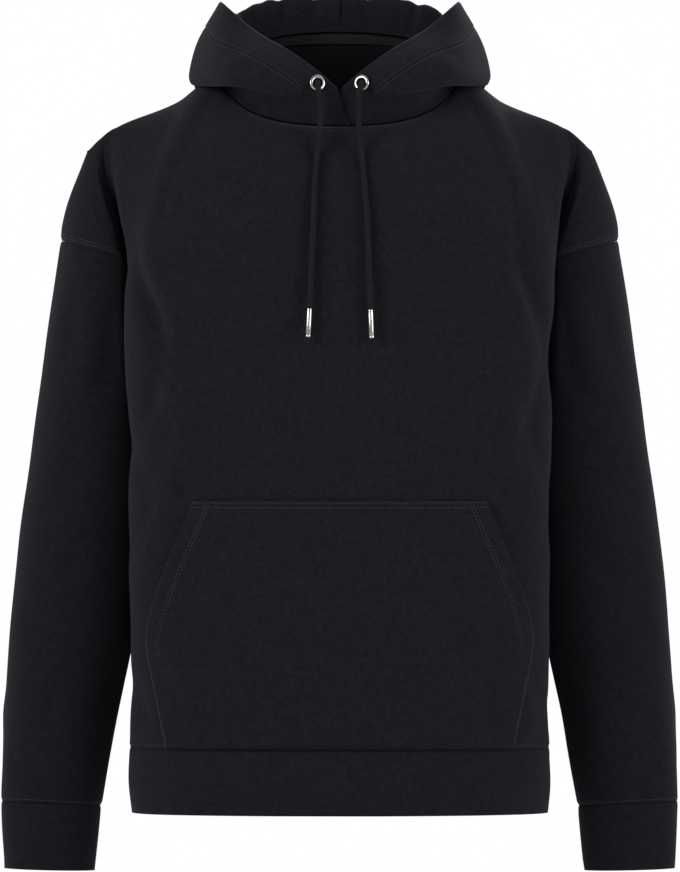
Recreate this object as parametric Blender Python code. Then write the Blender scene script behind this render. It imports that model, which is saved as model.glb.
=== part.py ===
"""Pullover hoodie in heavy fleece, standing hollow as if a wearer filled it.

Front faces -Y, +Z is up, and the origin is the middle of the neck base, level with
the points where the shoulder seams meet the neck.  The wearer's left is at +X.
Tables are in millimetres; one row is one section, line or fold of the garment.
"""

from collections import namedtuple

import bmesh
import bpy
import numpy as np
from mathutils import Quaternion, Vector

MM = 0.001

# --- cloth and seams -------------------------------------------------------
WALL = 2.0               # fleece thickness
SEAM_GAP = 0.5           # opening left between two pieces at a seam
SLEEVE_CLEAR = 3.0       # sleeve to body side
SIDE_SOFTNESS = 3.0      # how gently a sleeve bends where it meets that side
ARCH_RISE = 3.0          # underarm above the ends of the side and sleeve
HOOD_CROSSING = -9.0     # width at which the crossed hood front ends
POCKET_RISE = 1.0        # sewn pocket edge above the panel

# --- neck ------------------------------------------------------------------
NECK_HALF = 108.0        # half width of the neck between the shoulder seams
NECK_FRONT = 82.0        # neck seam forward of the shoulder line
NECK_BACK = 84.0         # neck seam behind the shoulder line
NECK_DROP = 54.0         # front neck below the shoulder points
NECK_RISE = 42.0         # back neck above the shoulder points
NECK_SQUARE = 2.4        # 2 is an ellipse, more is squarer
NECK_POINT_Z = -2.0

# --- body ------------------------------------------------------------------
BODY_SQUARE = 2.5
UNDERARM_Z = -190.0
HEM_SEAM_Z = -640.0
HEM_Z = -702.0

Body = namedtuple("Body", "z half front back edge_front edge_back groove")
BODY = (
    Body(UNDERARM_Z, 203, 128, 120, -50, 104, 30),
    Body(-260, 203, 131, 123, -50, 100, 30),
    Body(-350, 200, 131, 122, -48, 92, 25),
    Body(-450, 199, 131, 122, -42, 74, 16),
    Body(-550, 198, 131, 123, -34, 60, 5),
    Body(-600, 198, 132, 124, -28, 50, 1),
    Body(HEM_SEAM_Z, 199, 133, 125, -22, 40, 0),
)
HEM = (
    Body(HEM_SEAM_Z - SEAM_GAP, 199, 133, 125, -22, 40, 0),
    Body(-672, 200, 134, 126, -20, 36, 0),
    Body(HEM_Z, 197, 131, 123, -20, 36, 0),
)

# --- yoke: the lines that run from the neck and shoulder seam to the underarm ---
# top: the line's place on the seam; leave and arrive: its pull at the two ends.
Line = namedtuple("Line", "top_x top_y top_z leave_x leave_y leave_z arrive_x arrive_y arrive_z")
FRONT_LINES = {
    "centre": Line(0, 0, 0, 0, -62, -70, 0, -4, -130),
    "neck_point": Line(NECK_HALF, 0, NECK_POINT_Z, 6, -180, -14, 0, -6, -210),
    "shoulder": Line(156, 4, -29, 10, -150, -20, 4, -4, -200),
    "edge": Line(198, 7, -45, 50, -95, -50, -14, -4, -150),
    "side": Line(213, 9, -52, 60, -70, -60, -90, 130, -40),
    "cap_inner": Line(219, 9, -55, 56, -60, -62, -90, 130, -40),
    "cap_front": Line(232, 10, -66, 30, -60, -70, -10, -6, -110),
    "ridge": Line(240, 11, -75, 26, 0, -70, 4, 0, -90),
}
BACK_LINES = {
    "centre": Line(0, 0, 0, 0, 40, -70, 0, 4, -200),
    "neck_point": Line(NECK_HALF, 0, NECK_POINT_Z, 6, 170, -14, 0, 6, -210),
    "shoulder": Line(156, 4, -29, 10, 150, -20, 4, 4, -200),
    "edge": Line(198, 7, -45, 50, 105, -50, -14, 4, -150),
    "side": Line(213, 9, -52, 60, 80, -60, -60, -50, -60),
    "cap_inner": Line(219, 9, -55, 56, 70, -62, -60, -50, -60),
    "cap_front": Line(232, 10, -66, 30, 70, -70, -10, 6, -110),
    "ridge": Line(240, 11, -75, 26, 0, -70, 4, 0, -90),
}

# --- sleeves ---------------------------------------------------------------
Sleeve = namedtuple("Sleeve", "z_out z_in x_out x_in y_mid half_depth")
SLEEVE = (
    Sleeve(-160, -188, 265.5, 170, 27, 68),
    Sleeve(-218, -232, 274.5, 168, 28, 70),
    Sleeve(-293, -300, 285, 169, 31, 69),
    Sleeve(-370, -374, 295, 174, 28, 66),
    Sleeve(-450, -452, 306, 182, 22, 62),
    Sleeve(-520, -522, 313, 191, 17, 58),
    Sleeve(-597, -598, 317.8, 208.5, 11, 52),
    Sleeve(-645, -646, 320, 217, 7, 46),
    Sleeve(-692, -696, 321.6, 226, 3, 38),
)
CUFF = (
    Sleeve(-692.5, -696.5, 321.6, 226.5, 3, 38),
    Sleeve(-722, -726, 320.5, 229.5, 1, 35.5),
    Sleeve(-756, -758, 318.5, 232.5, -1, 33),
)

# --- kangaroo pocket -------------------------------------------------------
Pocket = namedtuple("Pocket", "z half edge_lift")
POCKET = (
    Pocket(-407, 137, 0),
    Pocket(-450, 151.5, 8),
    Pocket(-492, 166, 9),
    Pocket(-528, 176, 6),
    Pocket(-549, 179.5, 0),
    Pocket(-590, 172, 0),
    Pocket(-638.5, 162.5, 0),
)
POCKET_PUFF = 7.0        # belly of the pocket over the panel

# --- hood: one half, from the front edge round to the centre back ------------
# Each row runs from the neck seam: rise, fall, fold, belly, edge.
HoodLine = namedtuple("HoodLine", "turn rise fall fold belly edge")
HOOD = (
    HoodLine(-0.060, (-6, -87, -47), (-4, -90, -39), (-2, -92, -31), (0, -93, -24), (3, -92, -17)),
    HoodLine(0.115, (20, -87, -46), (20, -92, -37), (20, -95, -27), (20, -95, -15), (19, -90, -3)),
    HoodLine(0.280, (50, -82, -41), (51, -90, -29), (53, -101, -20), (53, -100, -3), (48, -82, 18)),
    HoodLine(0.520, (88, -60, -26), (94, -74, -16), (103, -90, -15), (100, -82, 12), (80, -56, 38)),
    HoodLine(0.980, (113, -6, 3), (124, -8, -4), (138, -10, -13), (128, -14, 22), (108, -22, 62)),
    HoodLine(1.350, (106, 46, 48), (121, 54, 30), (140, 66, -8), (136, 70, 26), (112, 44, 68)),
    HoodLine(1.680, (64, 86, 70), (84, 112, 20), (104, 148, -88), (112, 166, -24), (84, 122, 52)),
    HoodLine(2.000, (0, 98, 72), (0, 126, 8), (0, 164, -132), (0, 190, -58), (0, 164, 30)),
)
CROSS_STEP = 4.0         # the under half of the crossed front lies this far in

# --- eyelets, drawcord and tips --------------------------------------------
EYELET_X = 20.8
EYELET_Z = -14.0
EYELET_OUTER = 7.5
EYELET_HOLE = 4.5
EYELET_THICK = 1.6
EYELET_RISE = 0.1        # back of the ring above the casing
CASING_HOLE = 4.8
CORD_RADIUS = 3.0
CORD_POINTS = 22
CORD_ROUTES = {
    "right": ((-20.8, -95.5, -13.8), (-20.8, -102, -14.6), (-19.8, -106, -21), (-17.4, -103.4, -44),
              (-19, -103.4, -66), (-21.5, -107.6, -88), (-23.6, -118.4, -115),
              (-24.6, -127.4, -146), (-26.2, -133.2, -187), (-28.1, -135.8, -226)),
    "left": ((20.8, -93.6, -13.8), (20.6, -101, -14.6), (18.8, -105.2, -21), (17.8, -103, -44),
             (19, -103.6, -68), (22, -109.8, -93), (24.2, -120.0, -119),
             (26, -127.4, -146), (27.6, -133.4, -189), (29, -135.8, -227)),
}
TIP_RADIUS = 2.7
TIP_LENGTH = 27.0
TIP_SIDES = 12

# --- neck tape: how far down the back panel's first facets its two edges lie ---
TAPE_SHARES = (0.06, 0.62)
TAPE_CLEAR = 1.9         # room for the seam allowance under the tape
TAPE_WALL = 0.9

# --- how finely the cloth is cut into facets -------------------------------
NECK_STEPS = 6
SHOULDER_STEPS = 4
SIDE_STEPS = 2
CAP_STEPS = 8
YOKE_ROWS = 7
BODY_ROWS = 8
SLEEVE_ROWS = 10
HOOD_ROWS = 13
POCKET_COLUMNS = 21
POCKET_ROWS = 10

FLEECE = (0.0137, 0.0152, 0.0194, 1.0)
SLEEVE_FLEECE = (0.0120, 0.0132, 0.0170, 1.0)
TAPE = (0.0060, 0.0065, 0.0080, 1.0)
CORD = (0.0150, 0.0165, 0.0200, 1.0)
NICKEL = (0.62, 0.60, 0.56, 1.0)


def smooth(keys, places):
    """Catmull-Rom curve through keys (first axis) at fractional key numbers."""
    keys = np.asarray(keys, float)
    places = np.clip(np.asarray(places, float), 0, len(keys) - 1)
    padded = np.concatenate(([2 * keys[0] - keys[1]], keys, [2 * keys[-1] - keys[-2]]))
    base = np.minimum(places.astype(int), len(keys) - 2)
    t = (places - base).reshape((-1,) + (1,) * (keys.ndim - 1))
    p0, p1, p2, p3 = (padded[base + k] for k in range(4))
    return 0.5 * (2 * p1 + (p2 - p0) * t + (2 * p0 - 5 * p1 + 4 * p2 - p3) * t ** 2
                  + (3 * p1 - p0 - 3 * p2 + p3) * t ** 3)


def at_height(table, z):
    """Row of a table read smoothly at one height."""
    heights = np.array([row.z for row in table])
    place = np.interp(-z, -heights, np.arange(len(table)))
    return type(table[0])(*smooth([tuple(row) for row in table], [place])[0])


# --- body sections -----------------------------------------------------------
def front_arc(section, turn):
    """Front of the body: turn 0 is centre front, 1 the edge of the chest."""
    angle = np.asarray(turn) * np.pi / 2
    power = 2 / BODY_SQUARE
    x = section.half * np.sin(angle) ** power
    y = section.edge_front - (section.front + section.edge_front) * np.cos(angle) ** power
    return np.stack([x, y], -1)


def back_arc(section, turn):
    """Back of the body: turn 0 is centre back, 1 the back edge."""
    angle = np.asarray(turn) * np.pi / 2
    power = 2 / BODY_SQUARE
    x = section.half * np.sin(angle) ** power
    y = section.edge_back + (section.back - section.edge_back) * np.cos(angle) ** power
    return np.stack([x, y], -1)


def side_dip(section, share):
    """Side of the body, hollowed where the sleeve hangs: 0 front edge, 1 back edge."""
    share = np.asarray(share)
    x = section.half - section.groove * np.sin(np.pi * share) ** 2
    y = section.edge_front + (section.edge_back - section.edge_front) * share
    return np.stack([x, y], -1)


def half_section(section, back=False):
    """Half of the body's front or back, from its centre to the side seam."""
    turn = np.linspace(0, 1, NECK_STEPS + SHOULDER_STEPS + 1)
    share = np.linspace(0, 0.5, SIDE_STEPS + 1)[1:]
    if back:
        return np.concatenate([back_arc(section, turn), side_dip(section, 1 - share)])
    return np.concatenate([front_arc(section, turn), side_dip(section, share)])


def body_side_x(y, z):
    """Half width of the body at depth y and height z."""
    section = at_height(BODY, min(z, UNDERARM_Z))
    outline = np.concatenate([half_section(section), half_section(section, True)[-2::-1]])
    return np.interp(y, outline[:, 1], outline[:, 0])


# --- sleeve sections ---------------------------------------------------------
def sleeve_ring(section, turn):
    """Ring of the wearer's left sleeve; turn 0 is outside, 0.25 front, 0.5 inside."""
    angle = 2 * np.pi * np.asarray(turn)
    middle = (section.x_out + section.x_in) / 2
    half = (section.x_out - section.x_in) / 2
    x = middle + half * np.cos(angle)
    y = section.y_mid - section.half_depth * np.sin(angle)
    z = (section.z_out + section.z_in) / 2 + (section.z_out - section.z_in) / 2 * np.cos(angle)
    wall = np.array([body_side_x(b, c) for b, c in zip(y, z)]) + SLEEVE_CLEAR
    beside = 0.5 * (x + wall + np.sqrt((x - wall) ** 2 + SIDE_SOFTNESS ** 2))
    free = np.clip((HEM_SEAM_Z + 60 - z) / 40, 0, 1)
    return np.stack([beside * (1 - free) + np.maximum(x, wall) * free, y, z], -1)


def sleeve_rows(table, count):
    """Rings down a sleeve or cuff, count of them."""
    places = np.linspace(0, len(table) - 1, count)
    rows = smooth([tuple(row) for row in table], places)
    turn = np.arange(2 * CAP_STEPS) / (2 * CAP_STEPS)
    return np.array([sleeve_ring(Sleeve(*row), turn) for row in rows])


# --- neck ----------------------------------------------------------------------
def neck_ring(turn):
    """Neck seam; turn 0 centre front, 1 the shoulder seam, 2 centre back."""
    turn = np.asarray(turn, float)
    angle = turn * np.pi / 2
    power = 2 / NECK_SQUARE
    side = np.sign(np.sin(angle)) * np.abs(np.sin(angle)) ** power
    ahead = np.abs(np.cos(angle)) ** power
    front = turn <= 1
    y = np.where(front, -NECK_FRONT, NECK_BACK) * np.abs(np.cos(angle)) ** (power * 1.1)
    z = NECK_POINT_Z + np.where(front, NECK_POINT_Z - NECK_DROP + 4, NECK_RISE) * ahead
    return np.stack([NECK_HALF * side, y, z], -1)


# --- yoke ----------------------------------------------------------------------
def yoke_columns(lines, back):
    """Top points, leaving and arriving pulls of every column from centre to ridge."""
    names = list(lines)
    stops = np.cumsum([0, NECK_STEPS, SHOULDER_STEPS / 2, SHOULDER_STEPS / 2,
                       SIDE_STEPS, 2, CAP_STEPS / 2, CAP_STEPS / 2])
    columns = np.arange(stops[-1] + 1)
    table = smooth([tuple(lines[name]) for name in names],
                   np.interp(columns, stops, np.arange(len(names))))
    turn = np.linspace(0, 1, NECK_STEPS + 1)
    table[:NECK_STEPS + 1, :3] = neck_ring(2 - turn if back else turn)
    return table[:, :3], table[:, 3:6], table[:, 6:9]


def yoke_foot(back):
    """Lowest row of the yoke: the body at the underarm, the arch, the armhole seam."""
    section = BODY[0]
    body = half_section(section, back)
    body = np.column_stack([body, np.full(len(body), section.z)])
    turn = np.linspace(0.5, 1 if back else 0, CAP_STEPS + 1)
    cap = sleeve_ring(SLEEVE[0], turn) + (0, 0, SEAM_GAP)
    arch = (body[-1] + cap[0]) / 2 + (0, 0, ARCH_RISE)
    return np.concatenate([body, [arch], cap])


def panel_half(lines, back):
    """Half of a body panel as rows of points; cap columns stop at the armhole seam."""
    top, leave, arrive = yoke_columns(lines, back)
    foot = yoke_foot(back)
    rows = []
    for t in np.linspace(0, 1, YOKE_ROWS + 1):
        rows.append(top * (2 * t ** 3 - 3 * t ** 2 + 1) + leave * (t ** 3 - 2 * t ** 2 + t)
                    + foot * (3 * t ** 2 - 2 * t ** 3) + arrive * (t ** 3 - t ** 2))
    for z in np.linspace(UNDERARM_Z, HEM_SEAM_Z, BODY_ROWS + 1)[1:]:
        outline = half_section(at_height(BODY, z), back)
        row = np.full_like(foot, np.nan)
        row[:len(outline)] = np.column_stack([outline, np.full(len(outline), z)])
        rows.append(row)
    return np.array(rows)


def armhole_normals():
    """Level outward directions round the armhole seam of the wearer's left side."""
    ring = sleeve_ring(SLEEVE[0], np.arange(2 * CAP_STEPS) / (2 * CAP_STEPS))
    along = np.roll(ring, -1, 0) - np.roll(ring, 1, 0)
    out = np.stack([-along[:, 1], along[:, 0], np.zeros(len(ring))], -1)
    out[[0, CAP_STEPS], 1] = 0
    return out / np.linalg.norm(out, axis=1, keepdims=True)


def both_halves(half):
    """Mirror a half grid, whose first column is the middle, to the whole width."""
    return np.concatenate([(half * (-1, 1, 1))[:, :0:-1], half], axis=1)


# --- from points to cloth --------------------------------------------------------
def normals_of(grid, closed=False):
    """Unit normals of a grid, from the points that are there on each side."""
    def step(axis, wrap):
        ahead = np.roll(grid, -1, axis)
        behind = np.roll(grid, 1, axis)
        if not wrap:
            last = [slice(None)] * 3
            last[axis] = -1
            first = [slice(None)] * 3
            first[axis] = 0
            ahead[tuple(last)] = np.nan
            behind[tuple(first)] = np.nan
        forward = np.where(np.isnan(ahead), grid, ahead)
        backward = np.where(np.isnan(behind), grid, behind)
        return forward - backward
    normal = np.cross(step(0, False), step(1, closed))
    return normal / np.maximum(np.linalg.norm(normal, axis=-1, keepdims=True), 1e-9)


def wall_object(name, grid, colour, closed=False, flat_edges=None, outward=1, wall=WALL,
                roughness=0.95, metallic=0.0):
    """A cloth wall: the outer sheet grid, an inner sheet, and the cut edges between."""
    normal = normals_of(grid, closed) * outward
    for where, axis in flat_edges or ():
        if not isinstance(axis, int):
            normal[where] = axis
            continue
        picked = normal[where]
        picked[..., axis] = 0
        normal[where] = picked / np.maximum(np.linalg.norm(picked, axis=-1, keepdims=True), 1e-9)
    inner = grid - wall * normal
    rows, columns = grid.shape[:2]
    bm = bmesh.new()
    sheets = []
    for points in (grid, inner):
        sheets.append([[None if np.isnan(p[0]) else bm.verts.new(p * MM) for p in row]
                       for row in points])
    outer_faces = []
    span = columns if closed else columns - 1
    for i in range(rows - 1):
        for j in range(span):
            k = (j + 1) % columns
            corners = [(i, j), (i + 1, j), (i + 1, k), (i, k)]
            if any(sheets[0][a][b] is None for a, b in corners):
                continue
            outer_faces.append(bm.faces.new([sheets[0][a][b] for a, b in corners]))
            bm.faces.new([sheets[1][a][b] for a, b in reversed(corners)])
    partner = {sheets[0][i][j]: sheets[1][i][j] for i in range(rows) for j in range(columns)
               if sheets[0][i][j] is not None}
    outer = set(outer_faces)
    for face in outer_faces:
        for loop in face.loops:
            if sum(f in outer for f in loop.edge.link_faces) == 1:
                a, b = loop.vert, loop.link_loop_next.vert
                bm.faces.new([b, a, partner[a], partner[b]])
    bmesh.ops.recalc_face_normals(bm, faces=bm.faces)
    return finished(name, bm, colour, roughness, metallic)


def finished(name, bm, colour, roughness=0.95, metallic=0.0):
    """Object of a bmesh, with its own material."""
    mesh = bpy.data.meshes.new(name)
    bm.to_mesh(mesh)
    bm.free()
    mesh.shade_smooth()
    mesh.set_sharp_from_angle(angle=np.radians(50))
    obj = bpy.data.objects.new(name, mesh)
    bpy.context.collection.objects.link(obj)
    give_material(obj, colour, roughness, metallic)
    return obj


def give_material(obj, colour, roughness, metallic):
    """Principled finish of one piece."""
    material = bpy.data.materials.new(obj.name)
    material.use_nodes = True
    shader = material.node_tree.nodes["Principled BSDF"]
    shader.inputs["Base Color"].default_value = colour
    shader.inputs["Roughness"].default_value = roughness
    shader.inputs["Metallic"].default_value = metallic
    obj.data.materials.append(material)


# --- the pieces ----------------------------------------------------------------
def body_panels():
    """Front and back, parted by half a seam gap each."""
    side_column = NECK_STEPS + SHOULDER_STEPS + SIDE_STEPS
    for name, lines, back in (("front_panel", FRONT_LINES, False), ("back_panel", BACK_LINES, True)):
        half = panel_half(lines, back)
        half[..., 1] += SEAM_GAP / 2 * (1 if back else -1)
        grid = both_halves(half)
        middle = half.shape[1] - 1
        shoulder = np.s_[0, :middle - NECK_STEPS + 1], np.s_[0, middle + NECK_STEPS:]
        ridges = np.s_[:YOKE_ROWS + 1, 0], np.s_[:YOKE_ROWS + 1, -1]
        sides = (np.s_[YOKE_ROWS:, middle - side_column], np.s_[YOKE_ROWS:, middle + side_column])
        arches = (np.s_[YOKE_ROWS, middle + side_column + 1:middle + side_column + 3],
                  np.s_[YOKE_ROWS, middle - side_column - 2:middle - side_column])
        step = 1 if back else -1
        cap = armhole_normals()[(CAP_STEPS + step * np.arange(CAP_STEPS + 1)) % (2 * CAP_STEPS)]
        edges = [(np.s_[-1, :], 2)]
        edges += [(where, 1) for where in shoulder + ridges + sides + arches]
        edges += [(np.s_[YOKE_ROWS, middle + side_column + 2:], cap),
                  (np.s_[YOKE_ROWS, :middle - side_column - 1], cap[::-1] * (-1, 1, 1))]
        wall_object(name, grid, FLEECE, flat_edges=edges, outward=-1 if back else 1)


def sleeves_and_cuffs():
    """Sleeve and cuff of each arm; the right arm mirrors the left."""
    for side, sign in (("left", 1), ("right", -1)):
        sleeve = sleeve_rows(SLEEVE, SLEEVE_ROWS) * (sign, 1, 1)
        cuff = sleeve_rows(CUFF, 4) * (sign, 1, 1)
        wall_object("sleeve_" + side, sleeve, SLEEVE_FLEECE, closed=True,
                    flat_edges=[(np.s_[0], armhole_normals() * (sign, 1, 1)), (np.s_[-1], 2)],
                    outward=-sign)
        wall_object("cuff_" + side, cuff, SLEEVE_FLEECE, closed=True,
                    flat_edges=[(np.s_[0], 2)], outward=-sign)


def whole_ring(section):
    """Closed outline of the body at one section, starting at centre front."""
    front = half_section(section, False)
    back = half_section(section, True)
    right = np.concatenate([front, back[-2::-1]])
    left = (right * (-1, 1))[-2:0:-1]
    ring = np.concatenate([right, left])
    return np.column_stack([ring, np.full(len(ring), section.z)])


def hem_band():
    """Folded band round the bottom."""
    places = np.linspace(0, len(HEM) - 1, 4)
    rows = smooth([tuple(row) for row in HEM], places)
    grid = np.array([whole_ring(Body(*row)) for row in rows])
    wall_object("hem_band", grid, FLEECE, closed=True, flat_edges=[(np.s_[0], 2)])


def panel_point(x, z, out):
    """Place on the front panel at width x and height z, moved out along its normal."""
    turn = np.linspace(0, 1, 400)
    section = at_height(BODY, z)
    outline = front_arc(section, turn)
    slope = np.gradient(outline, axis=0)
    normal = np.stack([slope[:, 1], -slope[:, 0]], -1)
    normal /= np.linalg.norm(normal, axis=1, keepdims=True)
    y, normal_x, normal_y = (np.interp(np.abs(x), outline[:, 0], values)
                             for values in (outline[:, 1], normal[:, 0], normal[:, 1]))
    return np.stack([x + np.sign(x) * normal_x * out, y + normal_y * out - SEAM_GAP / 2,
                     np.full(np.shape(x), z)], -1)


def pocket():
    """Pouch on the front panel: sewn at its top, foot and lower sides, open between."""
    rows = []
    for place in np.linspace(0, len(POCKET) - 1, POCKET_ROWS):
        z, half, edge_lift = smooth([tuple(row) for row in POCKET], [place])[0]
        down = (POCKET[0].z - z) / (POCKET[0].z - POCKET[-1].z)
        across = np.linspace(-1, 1, POCKET_COLUMNS)
        belly = POCKET_PUFF * np.sin(np.pi * np.clip(down, 0, 1)) ** 0.8
        lift = np.maximum(edge_lift, 0) * np.abs(across) ** 3 + belly * (1 - across ** 2)
        rows.append(panel_point(half * across, z, WALL + POCKET_RISE + lift))
    wall_object("kangaroo_pocket", np.array(rows), FLEECE)


def hood_half():
    """Grid of the wearer's left hood panel: down the columns from neck seam to edge."""
    lines = np.arange(len(HOOD))
    own_turn = np.array([line.turn for line in HOOD])
    turn = np.concatenate([own_turn[:1], np.linspace(0, 2, 2 * NECK_STEPS + 1)])
    places = np.interp(turn, own_turn, lines)
    keys = smooth([line[1:] for line in HOOD], places)
    foot = neck_ring(np.maximum(turn, 0)) + (0, 0, SEAM_GAP)
    foot[0, 0] = HOOD_CROSSING
    keys = np.concatenate([foot[:, None], keys], axis=1)
    return smooth(keys.transpose(1, 0, 2), np.linspace(0, keys.shape[1] - 1, HOOD_ROWS))


def hood_grid(side):
    """Hood half of one side; the left one passes under the right one in front."""
    grid = hood_half()
    if side == "left":
        near = np.clip((34 - grid[..., 0]) / 30, 0, 1) * (grid[..., 1] < 0)
        grid[..., 1] += CROSS_STEP * near
    grid[:, -1, 0] = SEAM_GAP / 2
    return grid * (1 if side == "left" else -1, 1, 1)


def eyelet_place(side):
    """Centre and outward direction of an eyelet on its hood half."""
    sign = 1 if side == "left" else -1
    grid = hood_grid(side).reshape(-1, 3)
    normal = normals_of(hood_grid(side)).reshape(-1, 3) * -sign
    gap = np.hypot(grid[:, 0] - sign * EYELET_X, (grid[:, 2] - EYELET_Z)) + (grid[:, 1] > 0) * 500
    near = np.argsort(gap)[:4]
    weight = 1 / (gap[near] + 0.5)
    spot = (grid[near] * weight[:, None]).sum(0) / weight.sum()
    out = (normal[near] * weight[:, None]).sum(0)
    spot += (sign * EYELET_X - spot[0], 0, EYELET_Z - spot[2])
    return spot, out / np.linalg.norm(out)


def turned(name, profile, centre, axis, colour, roughness, metallic, steps=24):
    """Ring or tube turned about an axis; profile rows are (radius, along the axis)."""
    bm = bmesh.new()
    along = Vector(axis).normalized()
    across = along.orthogonal().normalized()
    start = [bm.verts.new((Vector(centre) + across * r + along * h) * MM) for r, h in profile]
    edges = [bm.edges.new((a, b)) for a, b in zip(start, start[1:] + start[:1])]
    bmesh.ops.spin(bm, geom=start + edges, cent=Vector(centre) * MM, axis=along,
                   angle=2 * np.pi, steps=steps, use_merge=True)
    bmesh.ops.remove_doubles(bm, verts=bm.verts, dist=1e-7)
    bmesh.ops.recalc_face_normals(bm, faces=bm.faces)
    return finished(name, bm, colour, roughness, metallic)


def eyelet(side, spot, out):
    """Pressed ring whose rounded lip stands on the casing."""
    middle = (EYELET_OUTER + EYELET_HOLE) / 2
    half = (EYELET_OUTER - EYELET_HOLE) / 2
    angle = np.linspace(0, 2 * np.pi, 8, endpoint=False)
    rise = EYELET_THICK / 2
    profile = [(middle + half * np.cos(a), EYELET_RISE + rise + rise * np.sin(a)) for a in angle]
    turned("eyelet_" + side, profile, spot, out, NICKEL, 0.3, 1.0)


def eyelet_cut(side, hood_object, spot, out):
    """Round hole through the casing behind the eyelet."""
    bm = bmesh.new()
    bmesh.ops.create_cone(bm, cap_ends=True, segments=16, radius1=CASING_HOLE * MM,
                          radius2=CASING_HOLE * MM, depth=14 * MM)
    cutter = finished("eyelet_cut_" + side, bm, NICKEL)
    cutter.location = Vector(spot) * MM
    cutter.rotation_euler = Vector(out).to_track_quat("Z", "Y").to_euler()
    cutter.hide_render = True
    cutter.display_type = "WIRE"
    cut = hood_object.modifiers.new("eyelet_hole", "BOOLEAN")
    cut.operation = "DIFFERENCE"
    cut.object = cutter


def hood():
    """Two halves with a centre back seam, each with its eyelet."""
    for side, sign in (("left", 1), ("right", -1)):
        half = wall_object("hood_" + side, hood_grid(side), FLEECE,
                           flat_edges=[(np.s_[:, -1], 0)], outward=-sign)
        spot, out = eyelet_place(side)
        eyelet_cut(side, half, spot, out)
        eyelet(side, spot, out)


def neck_tape():
    """Tape sewn over the back neck seam, on the inner face of the back panel."""
    half = panel_half(BACK_LINES, True) + (0, SEAM_GAP / 2, 0)
    whole = both_halves(half)[:3]
    inner = whole + normals_of(whole) * (WALL + TAPE_CLEAR)
    middle = half.shape[1] - 1
    upper, lower = inner[:2, middle - NECK_STEPS + 1:middle + NECK_STEPS]
    grid = np.array([upper + (lower - upper) * share for share in TAPE_SHARES])
    wall_object("neck_tape", grid, TAPE, outward=-1, wall=TAPE_WALL, roughness=0.8)


def cord_route(side):
    """Smooth line through the cord's own points, a point every two diameters or so."""
    keys = CORD_ROUTES[side]
    return smooth(keys, np.linspace(0, len(keys) - 1, CORD_POINTS))


def drawcords():
    """The two free ends of the drawcord, and their metal tips."""
    for side in ("left", "right"):
        route = cord_route(side)
        curve = bpy.data.curves.new("drawcord_" + side, "CURVE")
        curve.dimensions = "3D"
        curve.bevel_depth = CORD_RADIUS * MM
        curve.bevel_resolution = 2
        curve.use_fill_caps = True
        spline = curve.splines.new("POLY")
        spline.points.add(len(route) - 1)
        for point, place in zip(spline.points, route):
            point.co = (*(place * MM), 1.0)
        cord = bpy.data.objects.new("drawcord_" + side, curve)
        bpy.context.collection.objects.link(cord)
        give_material(cord, CORD, 0.85, 0.0)
        down = route[-1] - route[-2]
        down /= np.linalg.norm(down)
        start = route[-1] + down * SEAM_GAP
        outline = [(0.01, 0), (TIP_RADIUS - 0.3, 0), (TIP_RADIUS, 0.4),
                   (TIP_RADIUS, TIP_LENGTH - 0.4), (TIP_RADIUS - 0.3, TIP_LENGTH),
                   (0.01, TIP_LENGTH)]
        tip(side, outline, start, down)


def tip(side, outline, start, down):
    """Closed metal tube on the end of a cord."""
    bm = bmesh.new()
    along = Vector(down)
    across = along.orthogonal().normalized()
    rings = []
    for radius, far in outline[1:-1]:
        middle = Vector(start) + along * far
        ring = []
        for k in range(TIP_SIDES):
            turn = Quaternion(along, 2 * np.pi * k / TIP_SIDES)
            ring.append(bm.verts.new((middle + turn @ across * radius) * MM))
        rings.append(ring)
    for upper, lower in zip(rings, rings[1:]):
        for k in range(TIP_SIDES):
            j = (k + 1) % TIP_SIDES
            bm.faces.new([upper[k], lower[k], lower[j], upper[j]])
    bm.faces.new(rings[0])
    bm.faces.new(rings[-1])
    bmesh.ops.recalc_face_normals(bm, faces=bm.faces)
    finished("cord_tip_" + side, bm, NICKEL, 0.3, 1.0)


def main():
    for obj in list(bpy.data.objects):
        bpy.data.objects.remove(obj, do_unlink=True)
    body_panels()
    sleeves_and_cuffs()
    hem_band()
    pocket()
    hood()
    neck_tape()
    drawcords()


main()
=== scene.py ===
# %% [markdown]
# # A fleece pullover hoodie
# The frame holds the hoodie's solid model: every piece of cloth as a plain wall, at its
# real size.  Here each piece is made again as a fine shell on the same form, with its
# folds, seams and stitches, and every finish is built from shader nodes.

# %% Load the frame
from collections import namedtuple

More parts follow.
